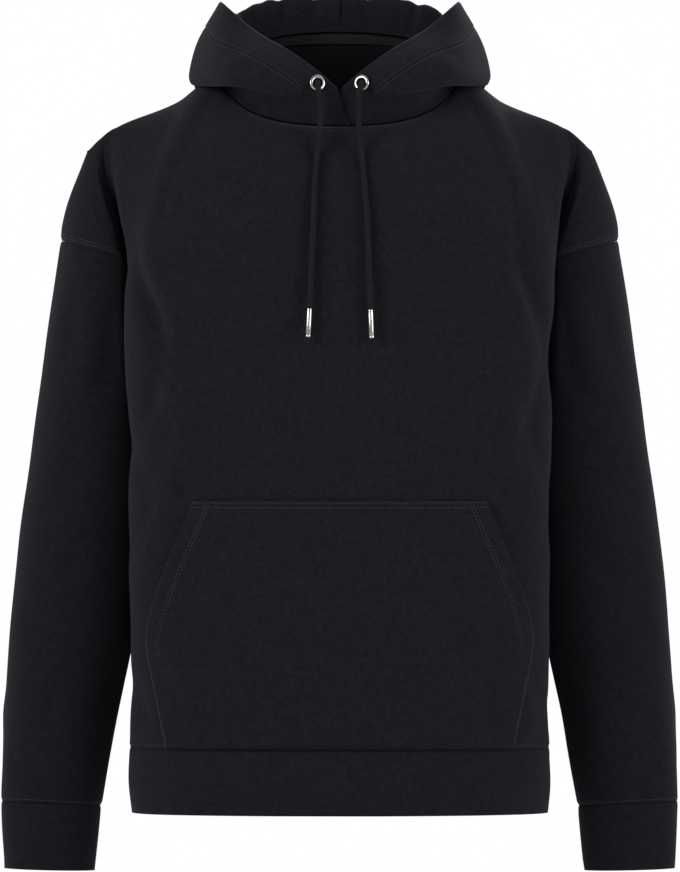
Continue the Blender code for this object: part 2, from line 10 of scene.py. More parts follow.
import bmesh
import bpy
import numpy as np
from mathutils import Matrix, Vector


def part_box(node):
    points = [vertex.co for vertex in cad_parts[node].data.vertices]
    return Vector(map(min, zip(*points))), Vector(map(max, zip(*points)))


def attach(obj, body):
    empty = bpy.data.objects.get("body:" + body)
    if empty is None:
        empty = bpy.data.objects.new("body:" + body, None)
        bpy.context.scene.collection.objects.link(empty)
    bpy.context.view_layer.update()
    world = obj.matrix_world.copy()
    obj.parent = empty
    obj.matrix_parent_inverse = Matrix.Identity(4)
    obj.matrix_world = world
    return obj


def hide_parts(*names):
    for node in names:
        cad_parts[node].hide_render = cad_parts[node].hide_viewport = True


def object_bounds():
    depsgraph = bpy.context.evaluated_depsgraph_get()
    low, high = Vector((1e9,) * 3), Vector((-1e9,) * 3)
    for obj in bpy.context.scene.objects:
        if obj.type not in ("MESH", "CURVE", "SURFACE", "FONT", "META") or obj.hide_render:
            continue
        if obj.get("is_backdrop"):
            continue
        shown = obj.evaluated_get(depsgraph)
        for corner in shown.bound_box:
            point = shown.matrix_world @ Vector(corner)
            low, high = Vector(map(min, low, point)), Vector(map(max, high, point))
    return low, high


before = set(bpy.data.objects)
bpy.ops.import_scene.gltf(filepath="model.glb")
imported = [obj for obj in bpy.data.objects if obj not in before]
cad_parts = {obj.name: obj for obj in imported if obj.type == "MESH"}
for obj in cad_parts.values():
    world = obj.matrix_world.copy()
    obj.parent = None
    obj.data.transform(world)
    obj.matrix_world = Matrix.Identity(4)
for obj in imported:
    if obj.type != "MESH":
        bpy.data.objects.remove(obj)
cad_low, cad_high = (list(map(float, corner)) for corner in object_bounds())
MM = 0.001
print("solid model", np.round(cad_low, 3), np.round(cad_high, 3))

# %% [markdown]
# ## The camera
# A garment is pictured level, from far off with a long lens, so its hem and shoulders
# stay straight.  The view is as wide as the sleeves and a little more.

# %% Camera
VIEW_WIDTH = 0.646
VIEW_HEIGHT_Z = -0.3458
CAMERA_AWAY = 9.0
SENSOR = 36.0
camera_data = bpy.data.cameras.new("camera")
camera_data.sensor_fit = "HORIZONTAL"
camera_data.sensor_width = SENSOR
camera_data.lens = SENSOR * CAMERA_AWAY / VIEW_WIDTH
camera_data.clip_end = 60.0
camera = bpy.data.objects.new("camera", camera_data)
camera.location = (0.0004, -CAMERA_AWAY, VIEW_HEIGHT_Z)
camera.rotation_euler = (np.pi / 2, 0.0, 0.0)
bpy.context.collection.objects.link(camera)
bpy.context.scene.camera = camera
print("lens", round(camera_data.lens), "mm")

# %% [markdown]
# ## Sizes of the cut
# The tables below are the ones that the solid model was drafted from, in millimetres.
# The body is a row of level sections, a sleeve is a row of rings, and the yoke over the
# shoulders is a family of lines that run from the neck and shoulder seam to the underarm.

# %% Body, sleeve and yoke sizes
WALL = 2.0
SEAM_GAP = 0.5
SLEEVE_CLEAR = 3.0
SIDE_SOFTNESS = 3.0
ARCH_RISE = 3.0
NECK_HALF, NECK_FRONT, NECK_BACK = 108.0, 82.0, 84.0
NECK_DROP, NECK_RISE, NECK_SQUARE, NECK_POINT_Z = 54.0, 42.0, 2.4, -2.0
BODY_SQUARE = 2.5
UNDERARM_Z = -190.0
HEM_SEAM_Z = round(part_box("front_panel")[0][2] / MM, 1)
HEM_Z = round(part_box("hem_band")[0][2] / MM, 1)

Body = namedtuple("Body", "z half front back edge_front edge_back groove")
BODY = (
    Body(UNDERARM_Z, 203, 128, 120, -50, 104, 30),
    Body(-260, 203, 131, 123, -50, 100, 30),
    Body(-350, 200, 131, 122, -48, 92, 25),
    Body(-450, 199, 131, 122, -42, 74, 16),
    Body(-550, 198, 131, 123, -34, 60, 5),
    Body(-600, 198, 132, 124, -28, 50, 1),
    Body(HEM_SEAM_Z, 199, 133, 125, -22, 40, 0),
)
HEM = (
    Body(HEM_SEAM_Z - SEAM_GAP, 199, 133, 125, -22, 40, 0),
    Body(-672, 200, 134, 126, -20, 36, 0),
    Body(HEM_Z, 197, 131, 123, -20, 36, 0),
)
Line = namedtuple("Line", "top_x top_y top_z leave_x leave_y leave_z arrive_x arrive_y arrive_z")
FRONT_LINES = {
    "centre": Line(0, 0, 0, 0, -62, -70, 0, -4, -130),
    "neck_point": Line(NECK_HALF, 0, NECK_POINT_Z, 6, -180, -14, 0, -6, -210),
    "shoulder": Line(156, 4, -29, 10, -150, -20, 4, -4, -200),
    "edge": Line(198, 7, -45, 50, -95, -50, -14, -4, -150),
    "side": Line(213, 9, -52, 60, -70, -60, -90, 130, -40),
    "cap_inner": Line(219, 9, -55, 56, -60, -62, -90, 130, -40),
    "cap_front": Line(232, 10, -66, 30, -60, -70, -10, -6, -110),
    "ridge": Line(240, 11, -75, 26, 0, -70, 4, 0, -90),
}
BACK_LINES = {
    "centre": Line(0, 0, 0, 0, 40, -70, 0, 4, -200),
    "neck_point": Line(NECK_HALF, 0, NECK_POINT_Z, 6, 170, -14, 0, 6, -210),
    "shoulder": Line(156, 4, -29, 10, 150, -20, 4, 4, -200),
    "edge": Line(198, 7, -45, 50, 105, -50, -14, 4, -150),
    "side": Line(213, 9, -52, 60, 80, -60, -60, -50, -60),
    "cap_inner": Line(219, 9, -55, 56, 70, -62, -60, -50, -60),
    "cap_front": Line(232, 10, -66, 30, 70, -70, -10, 6, -110),
    "ridge": Line(240, 11, -75, 26, 0, -70, 4, 0, -90),
}
Sleeve = namedtuple("Sleeve", "z_out z_in x_out x_in y_mid half_depth")
SLEEVE = (
    Sleeve(-160, -188, 265.5, 170, 27, 68),
    Sleeve(-218, -232, 274.5, 168, 28, 70),
    Sleeve(-293, -300, 285, 169, 31, 69),
    Sleeve(-370, -374, 295, 174, 28, 66),
    Sleeve(-450, -452, 306, 182, 22, 62),
    Sleeve(-520, -522, 313, 191, 17, 58),
    Sleeve(-597, -598, 317.8, 208.5, 11, 52),
    Sleeve(-645, -646, 320, 217, 7, 46),
    Sleeve(-692, -696, 321.6, 226, 3, 38),
)
CUFF = (
    Sleeve(-692.5, -696.5, 321.6, 226.5, 3, 38),
    Sleeve(-722, -726, 320.5, 229.5, 1, 35.5),
    Sleeve(-756, -758, 318.5, 232.5, -1, 33),
)
print("hem seam at", HEM_SEAM_Z, "hem at", HEM_Z)

# %% Pocket and hood sizes
Pocket = namedtuple("Pocket", "z half edge_lift")
POCKET = (
    Pocket(-407, 137, 0),
    Pocket(-450, 151.5, 8),
    Pocket(-492, 166, 9),
    Pocket(-528, 176, 6),
    Pocket(-549, 179.5, 0),
    Pocket(-590, 172, 0),
    Pocket(-638.5, 162.5, 0),
)
POCKET_PUFF = 7.0
POCKET_RISE = 1.0
HoodLine = namedtuple("HoodLine", "turn rise fall fold belly edge")
HOOD = (
    HoodLine(-0.060, (-6, -87, -47), (-4, -90, -39), (-2, -92, -31), (0, -93, -24), (3, -92, -17)),
    HoodLine(0.115, (20, -87, -46), (20, -92, -37), (20, -95, -27), (20, -95, -15), (19, -90, -3)),
    HoodLine(0.280, (50, -82, -41), (51, -90, -29), (53, -101, -20), (53, -100, -3), (48, -82, 18)),
    HoodLine(0.520, (88, -60, -26), (94, -74, -16), (103, -90, -15), (100, -82, 12), (80, -56, 38)),
    HoodLine(0.980, (113, -6, 3), (124, -8, -4), (138, -10, -13), (128, -14, 22), (108, -22, 62)),
    HoodLine(1.350, (106, 46, 48), (121, 54, 30), (140, 66, -8), (136, 70, 26), (112, 44, 68)),
    HoodLine(1.680, (64, 86, 70), (84, 112, 20), (104, 148, -88), (112, 166, -24), (84, 122, 52)),
    HoodLine(2.000, (0, 98, 72), (0, 126, 8), (0, 164, -132), (0, 190, -58), (0, 164, 30)),
)
CROSS_STEP = 4.0
CROSS_END_X = -9.0
CROSS_COLUMNS = 5
CASING = 32.0
CASING_FROM_LENGTH = 62.0
MIDDLE_LAP = 0.4
print("hood lines", len(HOOD), "pocket rows", len(POCKET))

# %% [markdown]
# ## Smooth curves through a few named points
# A cubic that passes through every key and leans along its neighbours keeps a shape true
# to its table and smooth between the rows.  It takes whole arrays of keys at once.


# %% Curve through keys
def smooth(keys, places):
    """Catmull-Rom: at key number n + t the value mixes keys n-1, n, n+1 and n+2."""
    keys = np.asarray(keys, float)
    places = np.clip(np.asarray(places, float), 0, len(keys) - 1)
    padded = np.concatenate(([2 * keys[0] - keys[1]], keys, [2 * keys[-1] - keys[-2]]))
    base = np.minimum(places.astype(int), len(keys) - 2)
    t = (places - base).reshape((-1,) + (1,) * (keys.ndim - 1))
    p0, p1, p2, p3 = (padded[base + k] for k in range(4))
    return 0.5 * (2 * p1 + (p2 - p0) * t + (2 * p0 - 5 * p1 + 4 * p2 - p3) * t ** 2
                  + (3 * p1 - p0 - 3 * p2 + p3) * t ** 3)


def sections_at(table, heights):
    """Rows of a table read smoothly at many heights, one column array per name."""
    stops = np.array([row.z for row in table])
    places = np.interp(-np.asarray(heights, float), -stops, np.arange(len(table)))
    values = smooth([tuple(row) for row in table], places)
    return type(table[0])(*values.T[..., None])


# %% Body section
NECK_STEPS, SHOULDER_STEPS, SIDE_STEPS, CAP_STEPS = 48, 28, 12, 36
YOKE_ROWS, BODY_ROWS = 64, 104


def arc(section, turn, back):
    """Superellipse quarter: x is half sin(a)^(2/n), y runs from the middle to the edge as cos."""
    angle = np.asarray(turn) * np.pi / 2
    power = 2 / BODY_SQUARE
    if back:
        edge, deep = section.edge_back, section.back - section.edge_back
    else:
        edge, deep = section.edge_front, -section.front - section.edge_front
    x = section.half * np.sin(angle) ** power
    return np.stack(np.broadcast_arrays(x, edge + deep * np.cos(angle) ** power), -1)


def side_dip(section, share):
    """Side between the chest and back edges, hollowed by groove times sin squared."""
    x = section.half - section.groove * np.sin(np.pi * share) ** 2
    y = section.edge_front + (section.edge_back - section.edge_front) * share
    return np.stack(np.broadcast_arrays(x, y), -1)


def half_section(section, back=False):
    """Centre to side seam, along the arc and then half of the side dip."""
    turn = np.linspace(0, 1, NECK_STEPS + SHOULDER_STEPS + 1)
    share = np.linspace(0, 0.5, SIDE_STEPS + 1)[1:]
    side = side_dip(section, 1 - share if back else share)
    return np.concatenate([arc(section, turn, back), side], axis=-2)


def body_side_x(y, z):
    """Half width of the body at depths y and heights z: straight between outline points."""
    section = sections_at(BODY, np.minimum(z, UNDERARM_Z))
    outline = np.concatenate([half_section(section), half_section(section, True)[:, -2::-1]], axis=1)
    x, depth = outline[..., 0], outline[..., 1]
    y = np.clip(y, depth[:, 0], depth[:, -1])
    after = np.clip((depth <= y[:, None]).sum(1), 1, depth.shape[1] - 1)[:, None]
    x0, x1, y0, y1 = (np.take_along_axis(values, place, 1)[:, 0]
                      for values in (x, depth) for place in (after - 1, after))
    return x0 + (x1 - x0) * (y - y0) / np.maximum(y1 - y0, 1e-9)


print("columns from centre to ridge", NECK_STEPS + SHOULDER_STEPS + SIDE_STEPS + CAP_STEPS + 2)


# %% Sleeve rings
def sleeve_ring(section, turn):
    """Ellipse round the arm, pressed flat where it would meet the body's side."""
    angle = 2 * np.pi * np.asarray(turn)
    x = (section.x_out + section.x_in) / 2 + (section.x_out - section.x_in) / 2 * np.cos(angle)
    y = section.y_mid - section.half_depth * np.sin(angle)
    z = (section.z_out + section.z_in) / 2 + (section.z_out - section.z_in) / 2 * np.cos(angle)
    wall = body_side_x(y, z) + SLEEVE_CLEAR
    beside = 0.5 * (x + wall + np.sqrt((x - wall) ** 2 + SIDE_SOFTNESS ** 2))
    free = np.clip((HEM_SEAM_Z + 60 - z) / 40, 0, 1)
    return np.stack([beside * (1 - free) + np.maximum(x, wall) * free, y, z], -1)


def sleeve_grid(table, rows, around):
    """Rings down a sleeve or cuff as a grid whose columns close on themselves."""
    values = smooth([tuple(row) for row in table], np.linspace(0, len(table) - 1, rows))
    turn = np.arange(around) / around
    return np.array([sleeve_ring(Sleeve(*row), turn) for row in values])


# %% [markdown]
# ## The yoke
# A dropped shoulder has no armhole at the shoulder's edge: the body cloth runs on over
# the upper arm.  Each column of the yoke is one cubic from the seam at the top to the
# underarm, so chest, fold and cap come out of one surface.


# %% Neck seam and yoke
def neck_ring(turn):
    """Neck seam: 0 centre front, 1 shoulder seam, 2 centre back, squarer than an ellipse."""
    turn = np.asarray(turn, float)
    angle = turn * np.pi / 2
    power = 2 / NECK_SQUARE
    side = np.abs(np.sin(angle)) ** power
    ahead = np.abs(np.cos(angle)) ** power
    front = turn <= 1
    y = np.where(front, -NECK_FRONT, NECK_BACK) * np.abs(np.cos(angle)) ** (power * 1.1)
    z = NECK_POINT_Z + np.where(front, NECK_POINT_Z - NECK_DROP + 4, NECK_RISE) * ahead
    return np.stack([NECK_HALF * side, y, z], -1)


def panel_half(lines, back, yoke_rows, body_rows):
    """Half panel: Hermite columns over the yoke, then level sections; nan where no cloth is."""
    stops = np.cumsum([0, NECK_STEPS, SHOULDER_STEPS / 2, SHOULDER_STEPS / 2,
                       SIDE_STEPS, 2, CAP_STEPS / 2, CAP_STEPS / 2])
    places = np.interp(np.arange(stops[-1] + 1), stops, np.arange(len(lines)))
    table = smooth([tuple(line) for line in lines.values()], places)
    turn = np.linspace(0, 1, NECK_STEPS + 1)
    table[:NECK_STEPS + 1, :3] = neck_ring(2 - turn if back else turn)
    top, leave, arrive = table[:, :3], table[:, 3:6], table[:, 6:9]
    body = half_section(sections_at(BODY, [UNDERARM_Z]), back)[0]
    body = np.column_stack([body, np.full(len(body), UNDERARM_Z)])
    cap = sleeve_ring(SLEEVE[0], np.linspace(0.5, 1 if back else 0, CAP_STEPS + 1)) + (0, 0, SEAM_GAP)
    arch = (body[-1] + cap[0]) / 2 + (0, 0, ARCH_RISE)
    foot = np.concatenate([body, [arch], cap])
    t = np.linspace(0, 1, yoke_rows + 1)[:, None, None]
    yoke = (top * (2 * t ** 3 - 3 * t ** 2 + 1) + leave * (t ** 3 - 2 * t ** 2 + t)
            + foot * (3 * t ** 2 - 2 * t ** 3) + arrive * (t ** 3 - t ** 2))
    heights = np.linspace(UNDERARM_Z, HEM_SEAM_Z, body_rows + 1)[1:]
    outline = half_section(sections_at(BODY, heights), back)
    lower = np.full((body_rows, len(foot), 3), np.nan)
    lower[:, :outline.shape[1], :2] = outline
    lower[:, :outline.shape[1], 2] = heights[:, None]
    return np.concatenate([yoke, lower]) + (0, SEAM_GAP / 2 * (1 if back else -1), 0)


def both_halves(half):
    """Mirror a half grid, whose first column is the middle, to the whole width."""
    return np.concatenate([(half * (-1, 1, 1))[:, :0:-1], half], axis=1)


# %% [markdown]
# ## Folds
# Cloth over a body keeps a few soft folds.  Each is a row: a line from one place to
# another, how wide it is and how far it stands out, or sinks in where the number is
# negative.  Its height falls off to both sides like a bell and dies out at its ends.

# %% Folds on the body and sleeves
Fold = namedtuple("Fold", "a0 b0 a1 b1 width depth")
FOLD_STRENGTH = 1.7
FRONT_FOLDS = (
    Fold(-184, -110, -181, -365, 11, -4.2),
    Fold(-166, -150, -158, -300, 13, 1.8),
    Fold(-161, -240, -152, -405, 12, 2.6),
    Fold(-196, -300, -190, -470, 9, -1.6),
    Fold(-142, -205, -112, -330, 20, -1.3),
    Fold(183, -105, 182, -370, 11, -4.0),
    Fold(165, -140, 157, -290, 13, 1.9),
    Fold(159, -250, 149, -415, 13, 2.5),
    Fold(195, -310, 189, -480, 9, -1.5),
    Fold(138, -215, 116, -345, 19, -1.2),
    Fold(-148, -382, -150, -412, 8, -2.4),
    Fold(150, -380, 153, -410, 8, -1.8),
    Fold(-95, -80, -150, -140, 16, -1.2),
    Fold(92, -82, 148, -138, 17, -1.1),
    Fold(-60, -280, -72, -392, 30, -1.0),
    Fold(64, -250, 55, -380, 34, -1.1),
    Fold(-190, -560, -188, -640, 8, -1.4),
    Fold(189, -555, 190, -640, 8, -1.5),
)
BACK_FOLDS = (
    Fold(-184, -120, -181, -350, 11, -3.0),
    Fold(-160, -170, -150, -360, 14, 1.9),
    Fold(183, -115, 182, -340, 11, -3.1),
    Fold(162, -180, 150, -380, 15, 1.8),
    Fold(-120, -230, -96, -420, 24, -1.6),
    Fold(118, -250, 92, -430, 26, -1.5),
    Fold(-30, -300, -20, -520, 34, -1.2),
    Fold(40, -420, 50, -600, 30, -1.3),
    Fold(-80, -480, -88, -636, 20, 1.3),
    Fold(130, -500, 138, -636, 18, -1.4),
)
SLEEVE_FOLDS = (
    Fold(0.20, -200, 0.10, -300, 16, -1.6),
    Fold(0.33, -215, 0.20, -330, 14, -2.0),
    Fold(0.27, -330, 0.14, -420, 18, -1.3),
    Fold(0.30, -440, 0.16, -500, 15, -1.7),
    Fold(0.12, -505, 0.28, -560, 14, -1.5),
    Fold(0.30, -575, 0.14, -630, 12, -1.5),
    Fold(0.10, -640, 0.26, -686, 11, -1.6),
    Fold(0.62, -230, 0.78, -340, 16, -1.9),
    Fold(0.66, -400, 0.82, -480, 17, -1.7),
    Fold(0.85, -520, 0.68, -590, 14, -1.6),
    Fold(0.70, -610, 0.86, -676, 12, -1.6),
    Fold(0.94, -560, 1.02, -660, 16, 1.0),
)


def pressed(a, b, folds):
    """Sum over folds of depth times exp(-(distance / width)^2) times a sine along the fold."""
    out = np.zeros_like(a)
    for fold in folds:
        da, db = fold.a1 - fold.a0, fold.b1 - fold.b0
        along = np.clip(((a - fold.a0) * da + (b - fold.b0) * db) / (da * da + db * db), 0, 1)
        sway = 0.06 * np.hypot(da, db) * np.sin(2.4 * np.pi * along)
        across = ((a - fold.a0) * db - (b - fold.b0) * da) / np.hypot(da, db) - sway
        past = np.hypot(a - fold.a0 - along * da, b - fold.b0 - along * db)
        off = np.where((along > 0) & (along < 1), np.abs(across), np.hypot(past, fold.width))
        out += FOLD_STRENGTH * fold.depth * np.exp(-(off / fold.width) ** 2) * np.sin(np.pi * along) ** 0.8
    return out


def ripple(points, size, seed):
    """Faint unevenness: six plane waves of random direction, about 60 to 160 mm long."""
    rng = np.random.default_rng(seed)
    out = np.zeros(points.shape[:-1])
    for _ in range(6):
        way = rng.normal(size=3)
        way *= 2 * np.pi / rng.uniform(60, 160) / np.linalg.norm(way)
        out += np.sin(points @ way + rng.uniform(0, 2 * np.pi))
    return out * size / 6


print("folds", len(FRONT_FOLDS), len(BACK_FOLDS), len(SLEEVE_FOLDS))


# %% [markdown]
# ## From a grid to a piece of cloth
# The outer face is a grid of points.  A Solidify modifier gives it the fleece's
# thickness inwards, which also closes the cut edges.


# %% Grid tools
def normals_of(grid, closed=False):
    """Unit cross product of the steps down and across, one-sided where the grid ends."""
    def step(axis, wrap):
        ahead, behind = np.roll(grid, -1, axis), np.roll(grid, 1, axis)
        if not wrap:
            ahead[(slice(None),) * axis + (-1,)] = np.nan
            behind[(slice(None),) * axis + (0,)] = np.nan
        return np.where(np.isnan(ahead), grid, ahead) - np.where(np.isnan(behind), grid, behind)
    normal = np.cross(step(0, False), step(1, closed))
    return normal / np.maximum(np.linalg.norm(normal, axis=-1, keepdims=True), 1e-9)


def sheet_mesh(name, grid, closed=False, flip=False):
    """Quads between neighbouring grid points, skipping places with no cloth."""
    rows, columns = grid.shape[:2]
    there = ~np.isnan(grid[..., 0])
    number = np.cumsum(there.ravel()).reshape(there.shape) - 1
    i, j = np.meshgrid(np.arange(rows - 1), np.arange(columns if closed else columns - 1), indexing="ij")
    k = (j + 1) % columns
    corners = np.stack([number[i, j], number[i + 1, j], number[i + 1, k], number[i, k]], -1)
    whole = there[i, j] & there[i + 1, j] & there[i + 1, k] & there[i, k]
    faces = corners[whole]
    if flip:
        faces = faces[:, ::-1]
    mesh = bpy.data.meshes.new(name)
    mesh.from_pydata((grid[there] * MM).tolist(), [], faces.tolist())
    mesh.update()
    mesh.shade_smooth()
    piece = bpy.data.objects.new(name, mesh)
    bpy.context.collection.objects.link(piece)
    return piece


def thicken(piece, wall=WALL):
    """Give a sheet its wall, inwards from the face that shows."""
    solid = piece.modifiers.new("wall", "SOLIDIFY")
    solid.thickness = wall * MM
    solid.offset = -1.0
    solid.use_even_offset = False
    return piece


def cloth(name, grid, node, closed=False, outward=1, wall=WALL):
    """A cloth piece that stands for a solid of the frame, with its faces outwards."""
    piece = thicken(sheet_mesh(name, grid, closed, flip=outward < 0), wall)
    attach(piece, "root")
    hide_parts(node)
    return piece


# %% [markdown]
# ## Fleece
# Brushed fleece is a short, dense pile: it takes nearly all light, glows faintly where
# it is seen edge-on, and its nap breaks the colour into fine specks.  Noise at two
# scales makes the nap, a third makes the slow clouding of a brushed surface, and sheen
# on the shader gives the soft edge.


# %% Materials
def new_material(name, colour, roughness, metallic=0.0):
    """Principled material and its node tree, ready for a pattern."""
    material = bpy.data.materials.new(name)
    material.use_nodes = True
    shader = material.node_tree.nodes["Principled BSDF"]
    shader.inputs["Base Color"].default_value = (*colour, 1.0)
    shader.inputs["Roughness"].default_value = roughness
    shader.inputs["Metallic"].default_value = metallic
    return material, material.node_tree, shader


def noise(tree, source, scale, detail=2.0, roughness=0.6):
    """Noise texture on the given coordinates."""
    node = tree.nodes.new("ShaderNodeTexNoise")
    node.inputs["Scale"].default_value = scale
    node.inputs["Detail"].default_value = detail
    node.inputs["Roughness"].default_value = roughness
    tree.links.new(source, node.inputs["Vector"])
    return node.outputs["Fac"]


def mixed(tree, factor, low, high):
    """Colour ramp from low to high by a factor."""
    ramp = tree.nodes.new("ShaderNodeValToRGB")
    ramp.color_ramp.elements[0].position = 0.32
    ramp.color_ramp.elements[0].color = (*low, 1.0)
    ramp.color_ramp.elements[1].position = 0.68
    ramp.color_ramp.elements[1].color = (*high, 1.0)
    tree.links.new(factor, ramp.inputs["Fac"])
    return ramp.outputs["Color"]


def bumped(tree, height, strength, distance, before=None):
    """Bump node, chained on another where one is given."""
    node = tree.nodes.new("ShaderNodeBump")
    node.inputs["Strength"].default_value = strength
    node.inputs["Distance"].default_value = distance
    tree.links.new(height, node.inputs["Height"])
    if before is not None:
        tree.links.new(before, node.inputs["Normal"])
    return node.outputs["Normal"]


def fleece(name, colour):
    """Matte pile: fine specks over slow clouding, both in the colour and in the bump."""
    material, tree, shader = new_material(name, colour, 0.92)
    place = tree.nodes.new("ShaderNodeTexCoord").outputs["Object"]
    specks = noise(tree, place, 620.0, 3.0, 0.7)
    clouds = noise(tree, place, 190.0, 4.0, 0.65)
    dark = tuple(0.62 * c for c in colour)
    light = tuple(1.42 * c for c in colour)
    grain = mixed(tree, specks, dark, light)
    cloud = mixed(tree, clouds, (0.70, 0.70, 0.70), (1.30, 1.30, 1.30))
    multiply = tree.nodes.new("ShaderNodeMix")
    multiply.data_type = "RGBA"
    multiply.blend_type = "MULTIPLY"
    multiply.inputs["Factor"].default_value = 1.0
    tree.links.new(grain, multiply.inputs["A"])
    tree.links.new(cloud, multiply.inputs["B"])
    tree.links.new(multiply.outputs["Result"], shader.inputs["Base Color"])
    nap = bumped(tree, specks, 0.55, 0.0007)
    nap = bumped(tree, noise(tree, place, 150.0, 2.0), 0.35, 0.0009, nap)
    tree.links.new(nap, shader.inputs["Normal"])
    shader.inputs["Specular IOR Level"].default_value = 0.10
    shader.inputs["Sheen Weight"].default_value = 0.06
    shader.inputs["Sheen Roughness"].default_value = 0.55
    shader.inputs["Sheen Tint"].default_value = (0.55, 0.62, 0.75, 1.0)
    return material


BODY_COLOUR = (0.0056, 0.0059, 0.0079)
# Sleeves and cuffs: the same fleece in a darker colour, painted shade for the body's shadow on them.
SLEEVE_SHADED_COLOUR = (0.0046, 0.0048, 0.0066)
BODY_FLEECE = fleece("body_fleece", BODY_COLOUR)
SLEEVE_SHADED_FLEECE = fleece("sleeve_fleece", SLEEVE_SHADED_COLOUR)
HOOD_FLEECE = fleece("hood_fleece", BODY_COLOUR)
print("fleece materials ready")


# %% Thread, tape and metal
def dress(piece, material):
    """Put one finish on a piece."""
    piece.data.materials.clear()
    piece.data.materials.append(material)


def thread_material():
    """Twisted polyester thread: black, a touch glossier than the pile."""
    material, tree, shader = new_material("thread", (0.0065, 0.007, 0.009), 0.6)
    place = tree.nodes.new("ShaderNodeTexCoord").outputs["Object"]
    tree.links.new(bumped(tree, noise(tree, place, 2400.0), 0.4, 0.0002), shader.inputs["Normal"])
    return material


def tape_material():
    """Herringbone cotton tape: fine slanting ribs."""
    material, tree, shader = new_material("neck_tape", (0.0070, 0.0075, 0.0092), 0.8)
    place = tree.nodes.new("ShaderNodeTexCoord").outputs["Object"]
    wave = tree.nodes.new("ShaderNodeTexWave")
    wave.inputs["Scale"].default_value = 260.0
    wave.bands_direction = "DIAGONAL"
    tree.links.new(place, wave.inputs["Vector"])
    tree.links.new(bumped(tree, wave.outputs["Fac"], 0.5, 0.0003), shader.inputs["Normal"])
    return material


def nickel_material():
    """Bright plated metal with faint wear in its gloss."""
    material, tree, shader = new_material("nickel", (0.46, 0.45, 0.43), 0.2, 1.0)
    place = tree.nodes.new("ShaderNodeTexCoord").outputs["Object"]
    scuffs = mixed(tree, noise(tree, place, 900.0, 3.0), (0.14, 0.14, 0.14), (0.30, 0.30, 0.30))
    tree.links.new(scuffs, shader.inputs["Roughness"])
    return material


def cord_material():
    """Braided cord: matte black yarn with a fine fuzz."""
    material, tree, shader = new_material("cord", (0.0150, 0.0165, 0.0205), 0.8)
    place = tree.nodes.new("ShaderNodeTexCoord").outputs["Object"]
    yarn = noise(tree, place, 1500.0, 2.0)
    tree.links.new(mixed(tree, yarn, (0.0032, 0.0034, 0.0042), (0.0072, 0.0076, 0.0092)),
                   shader.inputs["Base Color"])
    tree.links.new(bumped(tree, yarn, 0.5, 0.0003), shader.inputs["Normal"])
    shader.inputs["Specular IOR Level"].default_value = 0.15
    return material


THREAD = thread_material()
TAPE = tape_material()
NICKEL = nickel_material()
CORD = cord_material()

# %% [markdown]
# ## Body panels
# Front and back are cut alike: the front hangs from a lower neck.  Close to each seam
# the cloth rolls in a little, because the seam allowance pulls it down.


# %% Seam roll
SEAM_ROLL = 0.9
SEAM_WIDTH = 2.2


def lengths_down(grid):
    """Distance along each column from its first row."""
    steps = np.linalg.norm(np.diff(grid, axis=0), axis=-1)
    return np.concatenate([np.zeros((1, grid.shape[1])), np.cumsum(np.nan_to_num(steps), axis=0)])


def rolled(distance):
    """Depth that a seam pulls the cloth in at a distance from it: a narrow bell."""
    return -SEAM_ROLL * np.exp(-(distance / SEAM_WIDTH) ** 2)


# %% Front and back
def body_panel(name, lines, back):
    """Panel grid, moved along its normal by folds, ripple and seam roll."""
    grid = both_halves(panel_half(lines, back, YOKE_ROWS, BODY_ROWS))
    out = normals_of(grid) * (-1 if back else 1)
    folds = BACK_FOLDS if back else FRONT_FOLDS
    move = pressed(grid[..., 0], grid[..., 2], folds) + ripple(grid, 1.1, 5 if back else 4)
    down = lengths_down(grid)
    up = np.nanmax(np.where(np.isnan(grid[..., 0]), np.nan, down), axis=0) - down
    hold = np.clip(down / 12, 0, 1) * np.clip(up / 12, 0, 1)
    move = move * hold + rolled(down) + rolled(up)
    moved = grid + out * move[..., None]
    piece = cloth(name, moved, name, outward=-1 if back else 1)
    dress(piece, BODY_FLEECE)
    return grid, moved, out


_, front_grid, front_out = body_panel("front_panel", FRONT_LINES, False)
back_base, back_grid, back_out = body_panel("back_panel", BACK_LINES, True)
print("panel grids", front_grid.shape, back_grid.shape)

# %% [markdown]
# ## Sleeves, cuffs and hem
# Tubes of the same cloth; the sleeves and cuffs take a darker copy of its colour, painted shade from the body beside
# them.  The left sleeve is worked out and the right one mirrors it, with its folds turned a little so that the two
# are not twins.


# %% Sleeves and cuffs
ARM_GIRTH = 420.0
ARM_STEPS, SLEEVE_ROWS, CUFF_ROWS = 84, 130, 26


def tube_piece(name, table, rows, around, sign, folds, seed):
    """A sleeve or cuff grid with folds read by girth and height."""
    grid = sleeve_grid(table, rows, around)
    out = normals_of(grid, closed=True) * -1
    turn = np.broadcast_to(np.arange(around) / around, grid.shape[:2])
    spun = [f._replace(a0=(f.a0 + 0.02 * sign) * ARM_GIRTH, a1=(f.a1 - 0.015 * sign) * ARM_GIRTH) for f in folds]
    move = pressed(turn * ARM_GIRTH, grid[..., 2], spun) + ripple(grid, 0.9, seed)
    down = lengths_down(grid)
    up = down[-1] - down
    move = move * np.clip(down / 10, 0, 1) * np.clip(up / 10, 0, 1) + rolled(down)
    if table is SLEEVE:
        move = move + rolled(up)
    inside = np.clip((grid[..., 0] - body_side_wall(grid) - 5) / 6, 0, 1)
    moved = (grid + out * (move * inside)[..., None]) * (sign, 1, 1)
    piece = cloth(name, moved, name, closed=True, outward=-sign)
    # The darker fleece copy paints the body's shade on sleeves and cuffs.
    dress(piece, SLEEVE_SHADED_FLEECE)
    return moved, out * (sign, 1, 1)


def body_side_wall(grid):
    """Half width of the body beside each point of a sleeve grid."""
    flat = grid.reshape(-1, 3)
    return body_side_x(flat[:, 1], flat[:, 2]).reshape(grid.shape[:2])


